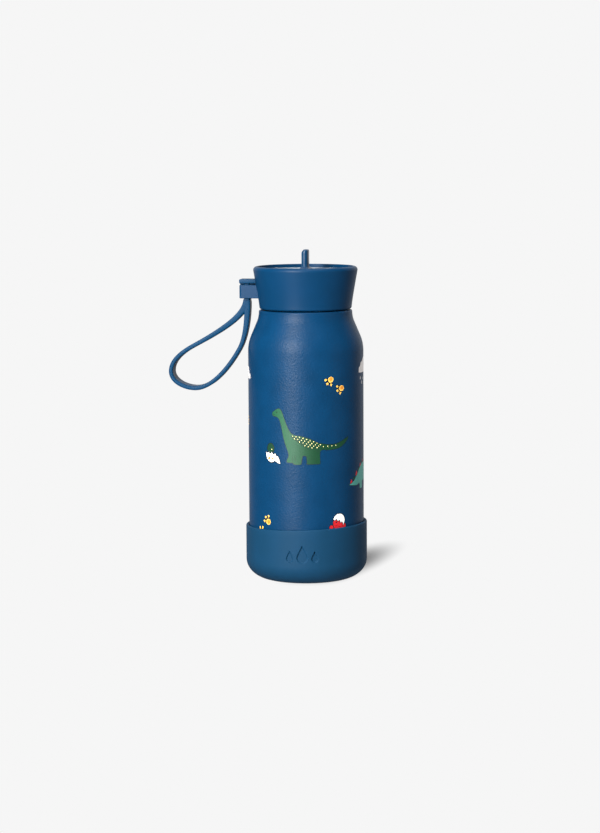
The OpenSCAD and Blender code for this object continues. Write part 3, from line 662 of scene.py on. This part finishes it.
class Print:
    """One colour of ink in one drawing: flat shapes, wrapped round the body as a thin closed film.

    With an edge, a dark film of the same shapes, wider by that much, lies half a layer below.
    """

    def __init__(self, name, ink, layer, x, z, size=1.0, flip=False, edge=0.0):
        self.name, self.ink, self.layer = name, ink, layer
        self.x, self.z, self.size, self.flip, self.edge = x, z, size, flip, edge
        self.shapes = []

    def add(self, outline):
        side = -1 if self.flip else 1
        self.shapes.append([(self.x + side * self.size * u, self.z + self.size * v) for u, v in outline])
        return self

    def finish(self):
        if self.edge:
            rim = Print(self.name + "_edge", "black", self.layer - 0.5, 0, 0)
            for outline in self.shapes:
                rim.add(widened(outline, self.edge))
            rim.finish()
        bm = bmesh.new()
        for outline in self.shapes:
            bm.faces.new([bm.verts.new((u, v, 0)) for u, v in outline]).normal_update()
        bmesh.ops.triangulate(bm, faces=bm.faces)
        left = min(v.co.x for v in bm.verts)
        right = max(v.co.x for v in bm.verts)
        for cut in range(math.ceil(left), math.ceil(right)):
            geometry = list(bm.verts) + list(bm.edges) + list(bm.faces)
            bmesh.ops.bisect_plane(bm, geom=geometry, dist=1e-5, plane_co=(cut, 0, 0), plane_no=(1, 0, 0))
        sheet = list(bm.faces)
        raised = bmesh.ops.extrude_face_region(bm, geom=sheet)["geom"]
        for v in (g for g in raised if isinstance(g, bmesh.types.BMVert)):
            v.co.z = 1
        top, low = BODY_R + INK_STEP * self.layer, BODY_R - 0.05
        for v in bm.verts:
            r = low + (top - low) * v.co.z
            a = math.radians(VIEW_AZIMUTH) + v.co.x / BODY_R
            v.co = (r * math.sin(a), -r * math.cos(a), v.co.y)
        obj = piece("print_" + self.name, bm, [INK[self.ink]], 30)
        place_piece(obj, "bottle")


def draw_long_neck(name, x, z, size, flip, skin="green", shade_ink="dark_green"):
    """A long-necked dinosaur that faces left, standing on z, with dots along its back."""
    body = [(-18.5, 28.0), (-18.0, 29.4), (-16.4, 30.6), (-14.4, 31.5), (-12.7, 30.4), (-11.4, 27.4),
            (-9.6, 22.6), (-7.6, 18.6), (-5.0, 16.6), (-0.8, 15.8), (4.0, 14.4), (9.0, 12.0), (14.4, 10.9),
            (19.6, 11.0), (24.4, 12.6), (28.8, 14.6, 1), (27.6, 12.6), (23.0, 9.2), (17.0, 8.0), (11.2, 8.2),
            (10.0, 7.6), (9.8, 4.0), (9.9, 0.4), (9.4, 0.0), (2.8, 0.0), (2.5, 0.5), (2.3, 3.2), (1.9, 4.6),
            (0.2, 4.7), (-0.4, 3.2), (-0.9, 0.3), (-1.5, -0.2), (-4.8, -0.2), (-5.6, 0.6), (-6.4, 0.7),
            (-9.0, 1.0), (-9.2, 2.0), (-8.2, 4.4), (-8.6, 7.2), (-10.6, 12.6), (-11.9, 18.0), (-12.8, 22.4),
            (-14.0, 25.6), (-15.6, 26.8), (-17.6, 27.1)]
    Print(name + "_body", skin, 1, x, z, size, flip, 0.28).add(smooth_loop(body)).finish()
    back = [(-6.6, 15.6), (-5.0, 15.9), (-0.8, 15.1), (4.0, 13.8), (9.0, 11.6), (14.4, 10.4), (19.6, 10.4),
            (24.4, 11.9), (27.2, 13.3), (22.8, 10.2), (17.0, 8.9), (12.0, 8.4), (8.6, 6.4), (6.6, 8.4),
            (3.6, 8.2), (0.6, 10.0), (-3.0, 12.6)]
    Print(name + "_back", shade_ink, 2, x, z, size, flip).add(smooth_loop(back)).finish()
    folds = Print(name + "_folds", shade_ink, 2, x, z, size, flip)
    for foot, top in ((-6.0, 2.8), (-4.4, 3.4), (5.0, 3.6), (7.2, 3.2)):
        folds.add(ellipse(foot, top, 0.2, 1.9, 4))
    folds.add(ellipse(-15.6, 29.3, 0.7, 0.45, 20))
    folds.add(ellipse(-17.4, 28.0, 0.9, 0.16, -12))
    folds.finish()
    dots = Print(name + "_dots", "cream", 3, x, z, size, flip)
    for row, (count, start) in enumerate(((9, -5.8), (8, -4.8), (6, -1.8), (3, 1.2))):
        for i in range(count):
            u = start + 2.0 * i
            top = 17.1 - 0.14 * (u + 6) - 0.0105 * (u + 6) ** 2
            dots.add(ellipse(u, top - 1.0 - 1.3 * row, 0.31, 0.31, count=10))
    for i in range(4):
        dots.add(ellipse(11.9 + 2.6 * i, 9.9 + 0.04 * i * i, 0.31, 0.31, count=10))
    dots.finish()


def draw_plated(name, x, z, size, flip):
    """A plated dinosaur with its tail to the left, standing on z."""
    body = [(0, 3.0, 1), (4.0, 4.6), (8.0, 8.2), (12.5, 12.6), (18.0, 14.6), (24.0, 13.6), (29.0, 10.6),
            (33.5, 9.8), (36.8, 8.6), (37.2, 6.4), (33.5, 5.4), (29.6, 5.2), (28.2, 3.0), (28.0, 0.2),
            (24.6, 0.0), (24.2, 3.2), (20.0, 4.0), (16.0, 3.6), (15.4, 0.2), (12.0, 0.0), (11.2, 3.0),
            (7.0, 2.2)]
    Print(name + "_body", "teal", 2, x, z, size, flip, 0.28).add(smooth_loop(body)).finish()
    for ink, start in (("red", 0), ("green", 1)):
        plates = Print(f"{name}_plates_{ink}", ink, 1, x, z, size, flip, 0.15)
        for i in range(start, 12, 2):
            u = 2.2 + 2.6 * i
            back = 4.2 + 10.2 * math.sin(math.pi * min(1.0, max(0.0, (u - 1) / 34))) ** 1.3
            tall = (1.0 if ink == "red" else 0.5) + 1.1 * math.sin(math.pi * u / 34)
            plates.add(smooth_loop([(u - 1.0, back - 0.8), (u, back + 1.1 * tall, 1), (u + 1.0, back - 0.8),
                                    (u, back - 1.4)]))
        plates.finish()
    Print(name + "_eye", "black", 3, x, z, size, flip).add(ellipse(34.6, 8.0, 0.4, 0.45)).finish()


def draw_bowl_hatchling(name, x, z, size, flip, skin):
    """A hatchling that looks out of the lower half of its egg, with a broken piece beside it."""
    bowl = [(-4.1, 6.6, 1), (-3.2, 5.2, 1), (-2.2, 6.6, 1), (-0.9, 5.0, 1), (0.6, 6.5, 1), (1.6, 4.9, 1),
            (3.2, 5.6, 1), (3.7, 3.2), (2.2, 0.6), (0, 0), (-2.2, 0.8), (-3.7, 3.2)]
    chip = [(3.2, 3.7, 1), (4.4, 4.2), (5.8, 2.4), (6.6, -0.8, 1), (5.0, -0.1), (3.6, 0.7, 1), (2.8, 1.6)]
    Print(name + "_head", skin, 1, x, z, size, flip, 0.35).add(ellipse(-0.4, 8.6, 2.6, 3.4)).finish()
    egg = Print(name + "_egg", "white", 2, x, z, size, flip, 0.45)
    egg.add(smooth_loop(bowl)).add(smooth_loop(chip)).finish()
    spots = Print(name + "_spots", "orange", 3, x, z, size, flip)
    spots.add(ellipse(-1.6, 2.4, 1.1, 0.75, 20)).add(ellipse(1.4, 2.4, 0.9, 0.45, 20))
    spots.finish()
    Print(name + "_eye", "cream", 2, x, z, size, flip).add(ellipse(0.4, 8.2, 0.4, 0.4)).finish()


def draw_capped_hatchling(name, x, z, size, flip, skin):
    """A hatchling that wears the top of its egg as a cap."""
    body = Print(name + "_body", skin, 1, x, z, size, flip, 0.35)
    body.add(ellipse(-0.2, 2.6, 3.7, 3.9)).add(ellipse(-5.0, 0.4, 1.2, 1.3)).add(ellipse(3.6, 0.8, 1.3, 1.6))
    body.finish()
    scales = Print(name + "_scales", "dark_red" if skin == "red" else "dark_green", 2, x, z, size, flip)
    for u, v in ((-2.2, 1.9), (0.2, 1.2), (2.4, 1.6), (-1.0, -0.2), (1.4, -0.5)):
        scales.add(smooth_loop([(u - 0.8, v), (u, v - 0.9), (u + 0.8, v), (u, v - 0.45)]))
    scales.finish()
    cap = [(-3.8, 5.2, 1), (-2.7, 4.6, 1), (-1.7, 5.4, 1), (-0.7, 3.9, 1), (0.4, 4.8, 1), (1.2, 2.9, 1),
           (2.3, 3.8, 1), (3.1, 1.6, 1), (4.1, 4.2), (3.2, 6.8), (0.8, 8.1), (-2.2, 7.4)]
    Print(name + "_cap", "white", 2, x, z, size, flip, 0.4).add(smooth_loop(cap)).finish()
    Print(name + "_eye", "black", 2, x, z, size, flip).add(ellipse(-1.9, 3.4, 0.4, 0.45)).finish()


def draw_footprint(name, x, z, heading, size=1.0):
    """A round heel with three toes, its heading in degrees from straight up."""
    a = math.radians(heading)

    def turned(u, v):
        return (u * math.cos(a) - v * math.sin(a), u * math.sin(a) + v * math.cos(a))

    rim = Print(name + "_edge", "black", 1, x, z, size)
    pad = Print(name + "_pad", "yellow", 2, x, z, size)
    pad.add(ellipse(0, -0.1, 1.7, 1.75, heading))
    for u, v in ((-2.2, 1.9), (-0.2, 3.0), (2.0, 2.3)):
        rim.add(ellipse(*turned(0.8 * u, 0.8 * v), 0.95, 1.15, heading - 16 * u))
        pad.add(ellipse(*turned(1.04 * u, 1.04 * v), 0.62, 0.8, heading - 16 * u))
    rim.finish()
    pad.finish()
    middle = turned(0.1, -0.25)
    Print(name + "_mark", "orange", 3, x, z, size).add(ellipse(*middle, 1.1, 1.15, heading)).finish()


def draw_cloud(name, x, z, size, drops=False):
    """A cloud of round puffs on a flat foot, with or without rain."""
    puffs = [(-7.5, 0), (7.5, 0), (9.2, 1.4), (8.4, 3.6), (6.2, 4.2), (4.6, 7.2), (0.8, 8.6), (-2.8, 6.8),
             (-5.8, 5.6), (-6.8, 3.9), (-8.6, 3.0), (-8.9, 1.2)]
    Print(name, "cloud", 1, x, z, size).add(smooth_loop(puffs, 6)).finish()
    if drops:
        rain = Print(name + "_rain", "cloud", 1, x, z, size)
        for u, v in ((-6.5, -3.4), (-4.2, -6.2), (-1.2, -3.8), (1.4, -7.0), (3.8, -4.2), (6.6, -6.6)):
            rain.add(smooth_loop([(u - 0.5, v), (u, v + 1.5, 1), (u + 0.5, v), (u, v - 0.6)]))
        rain.finish()


def make_prints():
    """All drawings: places are distances round the body from the front view's middle, and heights."""
    draw_long_neck("green_walker", -2.0, 70.8, 1.0, False)
    draw_bowl_hatchling("green_hatchling", -21.5, 71.3, 0.9, False, "dark_green")
    draw_footprint("track_a", 14.6, 118.9, 135)
    draw_footprint("track_b", 21.8, 113.7, 112)
    draw_footprint("track_c", -23.9, 36.6, 38)
    draw_footprint("track_d", -29.4, 29.7, 25)
    draw_capped_hatchling("red_hatchling", 19.7, 33.2, 1.0, False, "red")
    draw_plated("teal_plated", 27.5, 54.2, 1.0, False)
    draw_cloud("cloud_right", 47.2, 121.2, 1.0, True)
    draw_cloud("cloud_left", -50.2, 117.6, 0.8)
    draw_long_neck("red_walker", -66.0, 52.0, 0.92, True, "red", "dark_green")
    draw_bowl_hatchling("teal_hatchling", -100.0, 50.0, 1.1, False, "teal")
    draw_cloud("cloud_back", 101.0, 109.0, 1.1, True)
    draw_plated("back_plated", 66.0, 92.0, 0.8, False)
    draw_footprint("track_e", 84.0, 76.0, 70)
    draw_footprint("track_f", 93.0, 79.0, 88)
    draw_footprint("track_g", -60.0, 96.0, -60)
    draw_footprint("track_h", -52.0, 92.5, -80)
    draw_capped_hatchling("green_capped", 78.0, 46.0, 1.0, True, "green")
    draw_footprint("track_i", -84.0, 40.0, -30)
    draw_footprint("track_j", -78.0, 44.0, -45)


# ---------------------------------------------------------------- stage, light and camera
FLOOR_ALBEDO = 0.26             # gives the lit floor the backdrop's brightness
BACKDROP = "f6f6f6"
SHADOW_PLACE = (0.016, 0.037, 0)    # the soft shadow's patch on the floor, in metres
SHADOW_SIZE = (0.0250, 0.108, 1)
SHADOW_TURN = math.radians(-13)
LIGHT_TARGET = Vector((0, 0, 0.095))
LIGHT_DISTANCE = 1.2


def map_range(nodes, links, value, low, high, to_low, to_high):
    """A soft change from one number to another while the value runs from low to high."""
    node = nodes.new("ShaderNodeMapRange")
    node.interpolation_type = "SMOOTHSTEP"
    for name, number in (("From Min", low), ("From Max", high), ("To Min", to_low), ("To Max", to_high)):
        node.inputs[name].default_value = number
    links.new(value, node.inputs["Value"])
    return node.outputs["Result"]


def multiply(nodes, links, a, b):
    """The product of two node values."""
    node = nodes.new("ShaderNodeMath")
    node.operation = "MULTIPLY"
    links.new(a, node.inputs[0])
    links.new(b, node.inputs[1])
    return node.outputs["Value"]


def make_world():
    """A pale backdrop, whose light on the bottle comes mostly from behind and above."""
    scene = bpy.context.scene
    scene.view_settings.view_transform = "Standard"
    world = bpy.data.worlds.new("studio")
    scene.world = world
    world.use_nodes = True
    nodes, links = world.node_tree.nodes, world.node_tree.links
    backdrop = nodes["Background"]
    backdrop.inputs["Color"].default_value = linear(BACKDROP)
    direction = nodes.new("ShaderNodeTexCoord")
    axes = nodes.new("ShaderNodeSeparateXYZ")
    links.new(direction.outputs["Generated"], axes.inputs["Vector"])
    behind = map_range(nodes, links, axes.outputs["Y"], 0.25, 0.95, 0.04, 1.0)
    above = map_range(nodes, links, axes.outputs["Z"], -0.3, 0.05, 0.3, 1.0)
    dimmed = multiply(nodes, links, behind, above)
    seen = nodes.new("ShaderNodeLightPath")
    strength = nodes.new("ShaderNodeMath")
    strength.operation = "MAXIMUM"
    links.new(dimmed, strength.inputs[0])
    links.new(seen.outputs["Is Camera Ray"], strength.inputs[1])
    links.new(strength.outputs["Value"], backdrop.inputs["Strength"])


def make_floor():
    """A pale floor that melts into the backdrop, with a soft shadow behind the bottle."""
    bm = bmesh.new()
    bmesh.ops.create_circle(bm, cap_ends=True, segments=96, radius=12000)
    floor = piece("floor", bm, [], 30)
    floor.visible_glossy = False
    mat = bpy.data.materials.new("floor")
    mat.use_nodes = True
    nodes, links = mat.node_tree.nodes, mat.node_tree.links
    shader = nodes["Principled BSDF"]
    shader.inputs["Base Color"].default_value = (FLOOR_ALBEDO, FLOOR_ALBEDO, FLOOR_ALBEDO, 1)
    shader.inputs["Roughness"].default_value = 0.9
    shader.inputs["Specular IOR Level"].default_value = 0.0
    shader.inputs["Emission Color"].default_value = (1, 1, 1, 1)
    shader.inputs["Emission Strength"].default_value = 0.05
    glow = nodes.new("ShaderNodeEmission")
    glow.inputs["Color"].default_value = linear(BACKDROP)
    seen = nodes.new("ShaderNodeLightPath")
    dimmer = map_range(nodes, links, seen.outputs["Is Diffuse Ray"], 0, 1, 1.0, 0.85)
    links.new(dimmer, glow.inputs["Strength"])
    place = nodes.new("ShaderNodeTexCoord")
    patch = nodes.new("ShaderNodeMapping")
    patch.vector_type = "TEXTURE"
    patch.inputs["Location"].default_value = SHADOW_PLACE
    patch.inputs["Rotation"].default_value = (0, 0, SHADOW_TURN)
    patch.inputs["Scale"].default_value = SHADOW_SIZE
    links.new(place.outputs["Object"], patch.inputs["Vector"])
    length = nodes.new("ShaderNodeVectorMath")
    length.operation = "LENGTH"
    links.new(patch.outputs["Vector"], length.inputs[0])
    axes = nodes.new("ShaderNodeSeparateXYZ")
    links.new(place.outputs["Object"], axes.inputs["Vector"])
    inside = map_range(nodes, links, length.outputs["Value"], 0.25, 1.0, 1.0, 0.0)
    beyond = map_range(nodes, links, axes.outputs["Y"], -0.035, -0.005, 0.0, 1.0)
    mix = nodes.new("ShaderNodeMixShader")
    links.new(multiply(nodes, links, inside, beyond), mix.inputs["Fac"])
    links.new(glow.outputs["Emission"], mix.inputs[1])
    links.new(shader.outputs["BSDF"], mix.inputs[2])
    links.new(mix.outputs["Shader"], nodes["Material Output"].inputs["Surface"])
    floor.data.materials.append(mat)


def add_light(name, azimuth, elevation, width, height, power):
    """An area light that looks at the bottle's middle, its azimuth counted from the front view's."""
    light = bpy.data.lights.new(name, "AREA")
    light.shape, light.size, light.size_y, light.energy = "RECTANGLE", width, height, power
    obj = bpy.data.objects.new(name, light)
    bpy.context.collection.objects.link(obj)
    a, e = math.radians(VIEW_AZIMUTH + azimuth), math.radians(elevation)
    way = Vector((math.sin(a) * math.cos(e), -math.cos(a) * math.cos(e), math.sin(e)))
    obj.location = LIGHT_TARGET + LIGHT_DISTANCE * way
    obj.rotation_euler = (LIGHT_TARGET - obj.location).to_track_quat("-Z", "Y").to_euler()


def make_lights():
    """Key and strip from the left, a weak fill from the right and a soft top light."""
    add_light("key", -32, 32, 0.42, 0.75, 8)
    add_light("strip", -28, 16, 0.12, 0.9, 24)
    add_light("fill", 62, 12, 0.3, 0.9, 0.9)
    add_light("top", 20, 80, 0.9, 0.9, 10)


def make_camera():
    """The front view: level with the bottle's shoulder, looking slightly down."""
    distance, height = 1.400, 0.2505
    down, turn, roll = math.radians(6.36), math.radians(0.145), math.radians(-0.29)
    azimuth = math.radians(VIEW_AZIMUTH)
    camera = bpy.data.cameras.new("camera")
    camera.lens = 104.5
    obj = bpy.data.objects.new("camera", camera)
    bpy.context.collection.objects.link(obj)
    stand = Matrix.Translation((distance * math.sin(azimuth), -distance * math.cos(azimuth), height))
    aim = (Matrix.Rotation(azimuth + turn, 4, "Z") @ Matrix.Rotation(math.pi / 2 - down, 4, "X")
           @ Matrix.Rotation(roll, 4, "Z"))
    obj.matrix_world = stand @ aim
    bpy.context.scene.camera = obj


# ---------------------------------------------------------------- build
def dress_cad_nodes():
    """Gives every CAD node that stays the finish of its slot."""
    for part in frame["record"]["subparts"]:
        mesh = frame["nodes"][part["node"]].data
        mesh.materials.clear()
        mesh.materials.append(SLOT_MATERIALS[part["material_slot"]])


make_camera()
make_world()
make_floor()
make_lights()
dress_cad_nodes()
make_shell()
make_thread()
make_boot()
make_lid_shell()
make_loop()
refine("lid_deck", 0.25, 3, DECK_PLASTIC, "lid")
refine("spout_barrel", 0.3, 3, SPOUT_PLASTIC, "spout")
make_mouthpiece()
refine("spout_pins", 0.2, 2, BARE_STEEL, "lid")
refine("spout_seat", 0.2, 2, SEAL_SILICONE, "lid")
make_prints()
